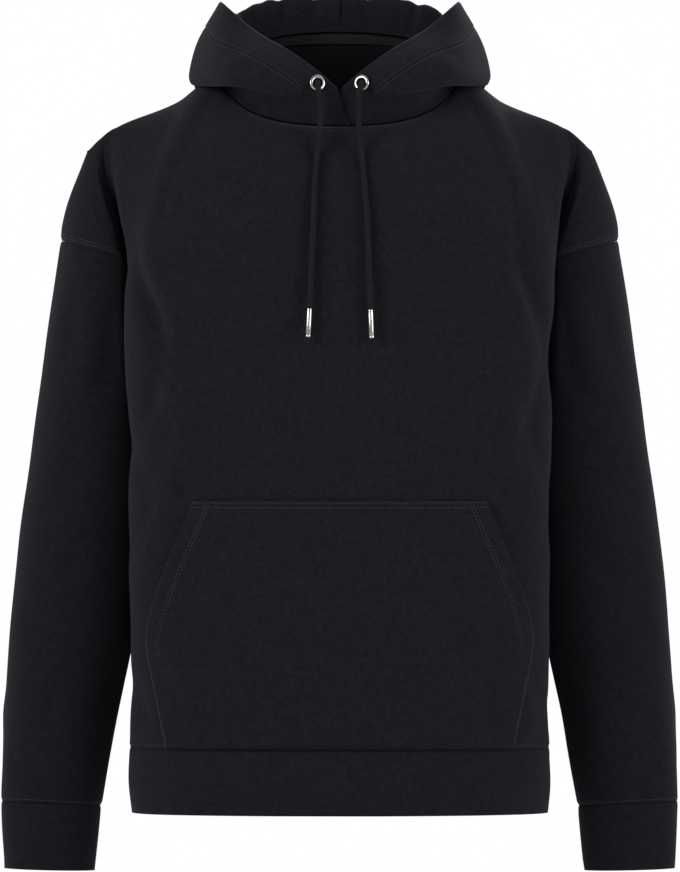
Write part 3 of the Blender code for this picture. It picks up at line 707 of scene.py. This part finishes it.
sleeves = {}
for side, sign, seed in (("left", 1, 11), ("right", -1, 12)):
    sleeves[side] = tube_piece("sleeve_" + side, SLEEVE, SLEEVE_ROWS, ARM_STEPS, sign, SLEEVE_FOLDS,
                               seed)
    tube_piece("cuff_" + side, CUFF, CUFF_ROWS, ARM_STEPS, sign, (), seed + 2)
print("sleeve grid", sleeves["left"][0].shape)


# %% Hem band
def hem_band(rows=22):
    """Level rings from the hem seam to the bottom, drawn in a little by the seam."""
    values = smooth([tuple(row) for row in HEM], np.linspace(0, len(HEM) - 1, rows))
    section = Body(*values.T[..., None])
    front, back = half_section(section), half_section(section, True)
    right = np.concatenate([front, back[:, -2::-1]], axis=1)
    ring = np.concatenate([right, (right * (-1, 1))[:, -2:0:-1]], axis=1)
    grid = np.concatenate([ring, np.broadcast_to(section.z[..., None], ring.shape[:2] + (1,))], -1)
    out = normals_of(grid, closed=True)
    down = lengths_down(grid)
    move = ripple(grid, 1.0, 21) * np.clip(down / 10, 0, 1) + rolled(down)
    moved = grid + out * move[..., None]
    piece = cloth("hem_band", moved, "hem_band", closed=True)
    dress(piece, BODY_FLEECE)
    return moved


hem_grid = hem_band()
print("hem grid", hem_grid.shape)

# %% [markdown]
# ## Kangaroo pocket
# One piece sewn on at its top, foot and lower sides.  The slanted edges between are the
# hand openings, and they stand a little off the panel.


# %% Pocket surface
POCKET_FOLDS = (
    Fold(-126, -585, -122, -636, 9, -2.2),
    Fold(142, -580, 138, -636, 9, -2.0),
    Fold(-60, -560, -52, -634, 22, -1.3),
    Fold(48, -570, 58, -634, 20, -1.2),
    Fold(-120, -430, -80, -520, 26, -1.0),
    Fold(118, -432, 84, -525, 26, -1.1),
)


def panel_point(x, z, out):
    """Front panel at widths x and heights z, moved out along the section's normal."""
    turn = np.linspace(0, 1, 400)
    rows = []
    for row, height, width in zip(out, z, x):
        outline = arc(sections_at(BODY, [height]), turn, False)[0]
        slope = np.gradient(outline, axis=0)
        normal = np.stack([slope[:, 1], -slope[:, 0]], -1)
        normal /= np.linalg.norm(normal, axis=1, keepdims=True)
        y, nx, ny = (np.interp(np.abs(width), outline[:, 0], v)
                     for v in (outline[:, 1], normal[:, 0], normal[:, 1]))
        rows.append(np.stack([width + np.sign(width) * nx * row, y + ny * row - SEAM_GAP / 2,
                              np.full(len(width), height)], -1))
    return np.array(rows)


def pocket_grid(rows=90, columns=141):
    """Across the pocket from edge to edge, row by row down its outline."""
    z, half, edge_lift = smooth([tuple(row) for row in POCKET], np.linspace(0, len(POCKET) - 1, rows)).T
    down = ((POCKET[0].z - z) / (POCKET[0].z - POCKET[-1].z))[:, None]
    across = np.linspace(-1, 1, columns)
    belly = POCKET_PUFF * np.sin(np.pi * np.clip(down, 0, 1)) ** 0.8
    lift = np.maximum(edge_lift, 0)[:, None] * np.abs(across) ** 3 + belly * (1 - across ** 2)
    return panel_point(half[:, None] * across, z, WALL + POCKET_RISE + lift)


def pocket():
    """Pocket with its folds, and its sewn top and foot rolled in."""
    grid = pocket_grid()
    out = normals_of(grid)
    down = lengths_down(grid)
    up = down[-1] - down
    hold = np.clip(down / 10, 0, 1) * np.clip(up / 10, 0, 1)
    move = (pressed(grid[..., 0], grid[..., 2], POCKET_FOLDS) + ripple(grid, 0.9, 31)) * hold
    moved = grid + out * (move + rolled(down) * 0.7 + rolled(up) * 0.7)[..., None]
    piece = cloth("kangaroo_pocket", moved, "kangaroo_pocket")
    dress(piece, BODY_FLEECE)
    return moved, out


pocket_points, pocket_out = pocket()
print("pocket grid", pocket_points.shape)

# %% [markdown]
# ## Hood
# Two panels with a seam down the middle, lowered onto the back.  Each column runs from
# the neck seam over the roll to the opening's edge, where the cloth is folded in 32 mm
# for the drawcord's casing.

# %% Hood halves
HOOD_FOLDS = (
    Fold(24, -18, 62, -40, 5, -1.8),
    Fold(26, -22, 48, -48, 4, -1.4),
    Fold(25, -12, 74, -26, 5, -1.2),
    Fold(18, -24, 24, -46, 3.5, -1.0),
    Fold(70, 6, 104, -8, 8, -1.2),
    Fold(86, 26, 120, 4, 8, -1.1),
)


def hood_half(columns=97, rows=110):
    """Left hood panel: keys read round the neck, then down each column."""
    lines = np.arange(len(HOOD))
    own_turn = np.array([line.turn for line in HOOD])
    turn = np.concatenate([np.linspace(own_turn[0], 0, CROSS_COLUMNS + 1)[:-1], np.linspace(0, 2, columns)])
    places = np.interp(turn, own_turn, lines)
    keys = smooth([line[1:] for line in HOOD], places)
    foot = neck_ring(np.maximum(turn, 0)) + (0, 0, SEAM_GAP)
    foot[:CROSS_COLUMNS, 0] = np.linspace(CROSS_END_X, 0, CROSS_COLUMNS + 1)[:-1]
    keys = np.concatenate([foot[:, None], keys], axis=1)
    return turn, smooth(keys.transpose(1, 0, 2), np.linspace(0, keys.shape[1] - 1, rows))


def hood_piece(side, sign):
    """Hood half with tension folds, gathers inside the back and a stepped casing."""
    turn, grid = hood_half()
    if side == "left":
        near = np.clip((34 - grid[..., 0]) / 30, 0, 1) * (grid[..., 1] < 0)
        grid[..., 1] += CROSS_STEP * near
    grid[:, -1, 0] = -MIDDLE_LAP
    out = normals_of(grid) * -1
    front = grid[..., 1] < -20
    move = pressed(grid[..., 0], grid[..., 2], HOOD_FOLDS) * front + ripple(grid, 0.8, 41 + sign)
    down = lengths_down(grid)
    total = down[-1]
    from_edge = total - down
    gathers = (np.sin(turn * 31 + sign) + 0.7 * np.sin(turn * 47 + 2) + 0.5 * np.sin(turn * 71))
    rise = np.exp(-((down - 26) / 16) ** 2) * np.clip((turn - 0.9) / 0.3, 0, 1)
    move = move + gathers * rise * 1.7
    casing = 0.5 * (1 + np.tanh((CASING - from_edge) / 1.5)) * np.clip((total - 45) / 15, 0, 1)
    groove = -0.8 * np.exp(-((from_edge - CASING) / 1.6) ** 2) * np.clip((total - 45) / 15, 0, 1)
    middle = np.exp(-(grid[..., 0] / 2.0) ** 2) * (grid[..., 1] > 0) * -0.9
    lip = -0.8 * np.clip(1 - from_edge / 1.5, 0, 1) ** 2
    hold = np.clip(down / 6, 0, 1)
    move = (move + 0.4 * casing) * hold + groove + middle + lip + rolled(down) * 0.6
    moved = (grid + out * move[..., None]) * (sign, 1, 1)
    piece = cloth("hood_" + side, moved, "hood_" + side, outward=-sign)
    dress(piece, HOOD_FLEECE)
    return moved, out * (sign, 1, 1), total


hoods = {side: hood_piece(side, sign) for side, sign in (("left", 1), ("right", -1))}
print("hood grid", hoods["left"][0].shape, "column lengths", np.round(hoods["left"][2][[0, 48, -1]]))

# %% [markdown]
# ## Topstitching
# A row of stitches is one small thread capsule, repeated along a line that lies on the
# cloth.  The line is found by walking a set distance from a seam along the columns.


# %% Stitches
def line_from(grid, out, distance, from_end=False):
    """Points a set distance down (or up) each column, with the normals there."""
    down = lengths_down(grid)
    if from_end:
        last = np.nanmax(np.where(np.isnan(grid[..., 0]), np.nan, down), axis=0)
        distance = last - distance
    distance = np.broadcast_to(distance, grid.shape[1:2])
    points, normals = [], []
    for j in range(grid.shape[1]):
        there = ~np.isnan(grid[:, j, 0])
        for store, values in ((points, grid), (normals, out)):
            store.append([np.interp(distance[j], down[there, j], values[there, j, k]) for k in range(3)])
    return np.array(points), np.array(normals)


def capsule(length, radius, around=6):
    """Rounded rod along x, closed at both ends."""
    along = np.array([-0.5, -0.44, -0.2, 0.2, 0.44, 0.5]) * length
    width = np.array([0.25, 0.75, 1, 1, 0.75, 0.25]) * radius
    angle = np.arange(around) / around * 2 * np.pi
    ring = np.stack([np.broadcast_to(along[:, None], (6, around)),
                     width[:, None] * np.cos(angle), width[:, None] * np.sin(angle)], -1)
    i, j = np.meshgrid(np.arange(5), np.arange(around), indexing="ij")
    k = (j + 1) % around
    quads = np.stack([i * around + j, i * around + k, (i + 1) * around + k, (i + 1) * around + j], -1)
    return ring.reshape(-1, 3), quads.reshape(-1, 4), around


def stitched(name, lines, pitch=3.4, length=2.6, radius=0.33):
    """Join the capsules of many stitch lines into one piece of thread."""
    base, quads, around = capsule(length, radius)
    spots, frames = [], []
    for path, normal in lines:
        walked = np.concatenate([[0], np.cumsum(np.linalg.norm(np.diff(path, axis=0), axis=1))])
        count = max(int(walked[-1] / pitch), 2)
        at = (np.arange(count) + 0.5) * walked[-1] / count
        place = np.stack([np.interp(at, walked, path[:, k]) for k in range(3)], -1)
        ahead = np.stack([np.interp(at + 0.5, walked, path[:, k]) for k in range(3)], -1)
        behind = np.stack([np.interp(at - 0.5, walked, path[:, k]) for k in range(3)], -1)
        up = np.stack([np.interp(at, walked, normal[:, k]) for k in range(3)], -1)
        x = ahead - behind
        x /= np.maximum(np.linalg.norm(x, axis=1, keepdims=True), 1e-9)
        side = np.cross(up, x)
        side /= np.maximum(np.linalg.norm(side, axis=1, keepdims=True), 1e-9)
        frames.append(np.stack([x, side, np.cross(x, side)], 1))
        spots.append(place + frames[-1][:, 2] * 0.06)
    spots, frames = np.concatenate(spots), np.concatenate(frames)
    points = spots[:, None] + np.einsum("vk,mkd->mvd", base, frames)
    shift = np.arange(len(spots))[:, None, None] * len(base)
    faces = (quads[None] + shift).reshape(-1, 4).tolist()
    ends = [[m * len(base) + k for k in range(around)][::-1] for m in range(len(spots))]
    tails = [[m * len(base) + 5 * around + k for k in range(around)] for m in range(len(spots))]
    mesh = bpy.data.meshes.new(name)
    mesh.from_pydata((points.reshape(-1, 3) * MM).tolist(), [], faces + ends + tails)
    mesh.shade_smooth()
    piece = bpy.data.objects.new(name, mesh)
    bpy.context.collection.objects.link(piece)
    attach(piece, "root")
    dress(piece, THREAD)
    print(name, len(spots), "stitches")
    return piece


# %% Where the stitching lies
NECK_STITCH = 6.4
ARMHOLE_STITCHES = (3.4, 6.2)
SEAM_STITCH = 3.2
POCKET_TOP_STITCHES = (1.6, 6.2)
POCKET_SIDE_STITCH = 1.8
OPENING_STITCHES = (14.5, 17.5)
SEWN_FROM_ROW, OPENING_TO_ROW = 52, 62
CASING_STITCH_OFF = 2.2
MIDDLE_STITCH_COLUMN, MIDDLE_STITCH_ROW = -4, 8
print("opening stitches", OPENING_STITCHES, "mm from the pocket's edge")

# %% Stitch lines of the body
middle = front_grid.shape[1] // 2
cap = NECK_STEPS + SHOULDER_STEPS + SIDE_STEPS + 3
near_neck = slice(middle - NECK_STEPS, middle + NECK_STEPS + 1)
yoke = slice(0, YOKE_ROWS + 1)
lines = [line_from(grid[yoke, near_neck], out[yoke, near_neck], NECK_STITCH)
         for grid, out in ((front_grid, front_out), (back_grid, back_out))]
for grid, out in ((front_grid, front_out), (back_grid, back_out)):
    for columns in (slice(middle + cap, None), slice(0, middle - cap + 1)):
        for distance in ARMHOLE_STITCHES:
            lines.append(line_from(grid[yoke, columns], out[yoke, columns], distance, from_end=True))
stitched("yoke_stitches", lines)

# %% Stitch lines of pocket, hem and cuffs
lines = []
for distance in POCKET_TOP_STITCHES:
    lines.append(line_from(pocket_points, pocket_out, distance))
across = pocket_points.transpose(1, 0, 2)
across_out = pocket_out.transpose(1, 0, 2)
for from_end in (False, True):
    path = line_from(across, across_out, POCKET_SIDE_STITCH, from_end)
    lines.append(tuple(values[SEWN_FROM_ROW:] for values in path))
    for distance in OPENING_STITCHES:
        path = line_from(across, across_out, distance, from_end)
        lines.append(tuple(values[1:OPENING_TO_ROW] for values in path))
stitched("pocket_stitches", lines)
lines = []
for grid, out in ((front_grid, front_out), (back_grid, back_out)):
    body_columns = slice(middle - cap + 3, middle + cap - 2)
    lines.append(line_from(grid[YOKE_ROWS:, body_columns], out[YOKE_ROWS:, body_columns], SEAM_STITCH, from_end=True))
for side in ("left", "right"):
    grid, out = sleeves[side]
    path, normal = line_from(grid, out, SEAM_STITCH, from_end=True)
    lines.append((np.vstack([path, path[:1]]), np.vstack([normal, normal[:1]])))
stitched("hem_stitches", lines)

# %% Stitch lines of the hood
lines = []
for grid, out, total in hoods.values():
    long = total > CASING_FROM_LENGTH
    for distance in (CASING - CASING_STITCH_OFF, CASING + CASING_STITCH_OFF):
        lines.append(line_from(grid[:, long], out[:, long], distance, from_end=True))
    seam = np.s_[MIDDLE_STITCH_ROW:, MIDDLE_STITCH_COLUMN]
    lines.append((grid[seam], out[seam]))
stitched("hood_stitches", lines)

# %% [markdown]
# ## Neck tape
# A flat tape hides the back neck seam on the inside.


# %% Tape inside the back neck
def neck_tape(height=10.0):
    """The back panel's inner face just below the neck seam, moved in and made a strip."""
    columns = slice(middle - NECK_STEPS + 8, middle + NECK_STEPS - 7)
    base, out = back_base[:40, columns], back_out[:40, columns]
    rows = []
    for distance in np.linspace(1.0, height, 9):
        path, normal = line_from(base, out, distance)
        rows.append(path - normal * (WALL + 0.9))
    piece = cloth("neck_tape", np.array(rows), "neck_tape", outward=1, wall=0.9)
    dress(piece, TAPE)


neck_tape()

# %% [markdown]
# ## Eyelets
# A pressed eyelet is a dished ring.  Its profile turns once round the hole's axis.


# %% Turned pieces
def turned(profile, centre, axis, steps=64):
    """Centre plus height along the axis plus radius times (cos a, sin a) across it."""
    along = np.array(axis) / np.linalg.norm(axis)
    across = np.cross(along, (1.0, 0.0, 0.0))
    across /= np.linalg.norm(across)
    third = np.cross(along, across)
    radius, height = np.array(profile, float).T
    angle = np.arange(steps) / steps * 2 * np.pi
    spoke = np.cos(angle)[:, None] * across + np.sin(angle)[:, None] * third
    return np.array(centre) + height[:, None, None] * along + radius[:, None, None] * spoke


def face_outwards(mesh):
    """Merge doubled points, then turn every face of a closed shell outwards."""
    bm = bmesh.new()
    bm.from_mesh(mesh)
    bmesh.ops.remove_doubles(bm, verts=bm.verts, dist=1e-7)
    bmesh.ops.recalc_face_normals(bm, faces=bm.faces)
    bm.to_mesh(mesh)
    bm.free()
    mesh.shade_smooth()


def stand_for(piece, node, material):
    """Let a finished piece ride, replace its solid and take its finish."""
    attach(piece, "root")
    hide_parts(node)
    dress(piece, material)
    return piece


def closed_band(name, points, node, material):
    """Join a turned profile's rings; the profile itself closes too."""
    looped = np.concatenate([points, points[:1]])
    piece = sheet_mesh(name, looped, closed=True)
    face_outwards(piece.data)
    return stand_for(piece, node, material)


# %% Eyelet rings
for side, sign in (("left", 1), ("right", -1)):
    low, high = (np.array(corner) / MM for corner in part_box("eyelet_" + side))
    centre = (low + high) / 2
    grid, out, _ = hoods[side]
    nearest = np.argmin(np.linalg.norm((grid - centre).reshape(-1, 3), axis=1))
    axis = out.reshape(-1, 3)[nearest]
    angle = np.linspace(0, 2 * np.pi, 18, endpoint=False)
    lip = [(6.0 + 1.55 * np.cos(a), 0.15 + 0.95 * np.sin(a) - 0.25 * np.cos(a)) for a in angle]
    closed_band("eyelet_" + side, turned(lip, centre, axis), "eyelet_" + side, NICKEL)
print("eyelets placed")

# %% [markdown]
# ## Drawcord
# A round braid, 6 mm thick.  Its two free ends leave the eyelets, bend down under their
# own weight and lie on the chest.  The braid is two sets of strands that cross, and each
# strand is a low ridge on the tube.

# %% Cord routes
CORD_RADIUS = 3.0
CORD_ROUTES = {
    "right": ((-20.8, -95.5, -13.8), (-20.8, -102, -14.6), (-19.8, -106, -21), (-17.4, -103.4, -44),
              (-19, -103.4, -66), (-21.5, -107.6, -88), (-23.6, -118.4, -115),
              (-24.6, -127.4, -146), (-26.2, -133.2, -187), (-28.1, -135.8, -226)),
    "left": ((20.8, -93.6, -13.8), (20.6, -101, -14.6), (18.8, -105.2, -21), (17.8, -103, -44),
             (19, -103.6, -68), (22, -109.8, -93), (24.2, -120.0, -119),
             (26, -127.4, -146), (27.6, -133.4, -189), (29, -135.8, -227)),
}
BRAID_STRANDS = 8
BRAID_PITCH = 15.0


def cord_tube(route, rows=620, around=40):
    """Tube whose radius rises where a strand of either hand lies on top."""
    keys = smooth(route, np.linspace(0, len(route) - 1, 400))
    walked = np.concatenate([[0], np.cumsum(np.linalg.norm(np.diff(keys, axis=0), axis=1))])
    at = np.linspace(0, walked[-1], rows)
    path = np.stack([np.interp(at, walked, keys[:, k]) for k in range(3)], -1)
    along = np.gradient(path, axis=0)
    along /= np.linalg.norm(along, axis=1, keepdims=True)
    side = np.cross(along, (0.0, 1.0, 0.3))
    side /= np.linalg.norm(side, axis=1, keepdims=True)
    front = np.cross(along, side)
    turn = np.arange(around) / around * 2 * np.pi
    lean = at[:, None] / BRAID_PITCH * 2 * np.pi
    one = np.cos(BRAID_STRANDS / 2 * (turn + lean))
    other = np.cos(BRAID_STRANDS / 2 * (turn - lean))
    radius = CORD_RADIUS * (0.93 + 0.05 * np.maximum(one, other))
    points = path[:, None] + radius[..., None] * (np.cos(turn)[:, None] * side[:, None]
                                                  + np.sin(turn)[:, None] * front[:, None])
    return path, walked[-1], points


def capped(name, points, node, material):
    """Tube grid closed at both ends with a fan round one middle point."""
    first, last = points[0].mean(0), points[-1].mean(0)
    rows, around = points.shape[:2]
    flat = np.concatenate([points.reshape(-1, 3), [first, last]])
    i, j = np.meshgrid(np.arange(rows - 1), np.arange(around), indexing="ij")
    k = (j + 1) % around
    quads = np.stack([i * around + j, i * around + k, (i + 1) * around + k, (i + 1) * around + j], -1)
    n = rows * around
    ring = np.arange(around)
    nxt = (ring + 1) % around
    start = np.stack([np.full(around, n), nxt, ring], -1)
    end = np.stack([np.full(around, n + 1), ring + n - around, nxt + n - around], -1)
    mesh = bpy.data.meshes.new(name)
    faces = quads.reshape(-1, 4).tolist() + start.tolist() + end.tolist()
    mesh.from_pydata((flat * MM).tolist(), [], faces)
    face_outwards(mesh)
    piece = bpy.data.objects.new(name, mesh)
    bpy.context.collection.objects.link(piece)
    return stand_for(piece, node, material)


# %% Cords and tips
TIP_PROFILE = ((2.45, 0.0), (2.7, 0.5), (2.7, 1.6), (2.5, 2.2), (2.7, 2.8), (2.68, 24.6), (2.5, 25.2),
               (2.7, 25.8), (2.66, 26.6), (2.3, 27.0))
for side in ("left", "right"):
    route = CORD_ROUTES[side]
    path, length, tube = cord_tube(route)
    cord = capped("drawcord_" + side, tube, "drawcord_" + side, CORD)
    down = path[-1] - path[-6]
    down /= np.linalg.norm(down)
    ring = turned(TIP_PROFILE, path[-1] + down * SEAM_GAP, down, steps=40)
    tip = capped("cord_tip_" + side, ring, "cord_tip_" + side, NICKEL)
    print("cord", side, round(length), "mm")

# %% [markdown]
# ## Floor, light and surroundings
# A pale floor, a white room and three large soft lamps: a black garment is shaped by
# broad light from both sides and behind, with no hard shadow.  The camera sees the room
# as pure white, while the room lights the cloth less, so its folds keep their shade.


# %% Studio
def area_light(name, place, target, size, power):
    """Square lamp that faces a point."""
    data = bpy.data.lights.new(name, "AREA")
    data.size = size
    data.energy = power
    lamp = bpy.data.objects.new(name, data)
    lamp.location = place
    lamp.rotation_euler = (Vector(target) - Vector(place)).to_track_quat("-Z", "Y").to_euler()
    bpy.context.collection.objects.link(lamp)


ROOM_LIGHT = 0.42
FLOOR_HALF = 2.0
FLOOR_Z = cad_low[2] - 0.105
floor_mesh = bpy.data.meshes.new("floor")
corners = [(x * FLOOR_HALF, y * FLOOR_HALF, FLOOR_Z) for x, y in ((-1, -1), (1, -1), (1, 1), (-1, 1))]
floor_mesh.from_pydata(corners, [], [(0, 1, 2, 3)])
floor = bpy.data.objects.new("floor", floor_mesh)
bpy.context.collection.objects.link(floor)
floor_material, _, _ = new_material("floor", (0.86, 0.86, 0.86), 0.7)
floor.data.materials.append(floor_material)
floor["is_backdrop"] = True

middle_z = (cad_low[2] + cad_high[2]) / 2
area_light("key", (-2.3, -1.7, 0.9), (0, 0, middle_z), 1.5, 62)
area_light("fill", (2.4, -1.6, 0.5), (0, 0, middle_z), 1.6, 48)
area_light("back", (0.4, 2.4, 1.5), (0, 0, middle_z), 1.6, 40)
world = bpy.data.worlds.new("room")
world.use_nodes = True
room = world.node_tree.nodes["Background"]
room.inputs["Color"].default_value = (1.0, 1.0, 1.0, 1.0)
seen = world.node_tree.nodes.new("ShaderNodeLightPath").outputs["Is Camera Ray"]
strength = world.node_tree.nodes.new("ShaderNodeMapRange")
strength.inputs["To Min"].default_value = ROOM_LIGHT
strength.inputs["To Max"].default_value = 1.0
world.node_tree.links.new(seen, strength.inputs["Value"])
world.node_tree.links.new(strength.outputs["Result"], room.inputs["Strength"])
bpy.context.scene.world = world
bpy.context.scene.view_settings.view_transform = "Standard"

# %% Sizes and finish
low, high = (list(map(float, corner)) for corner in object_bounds())
print("visual model", np.round(low, 3), np.round(high, 3))
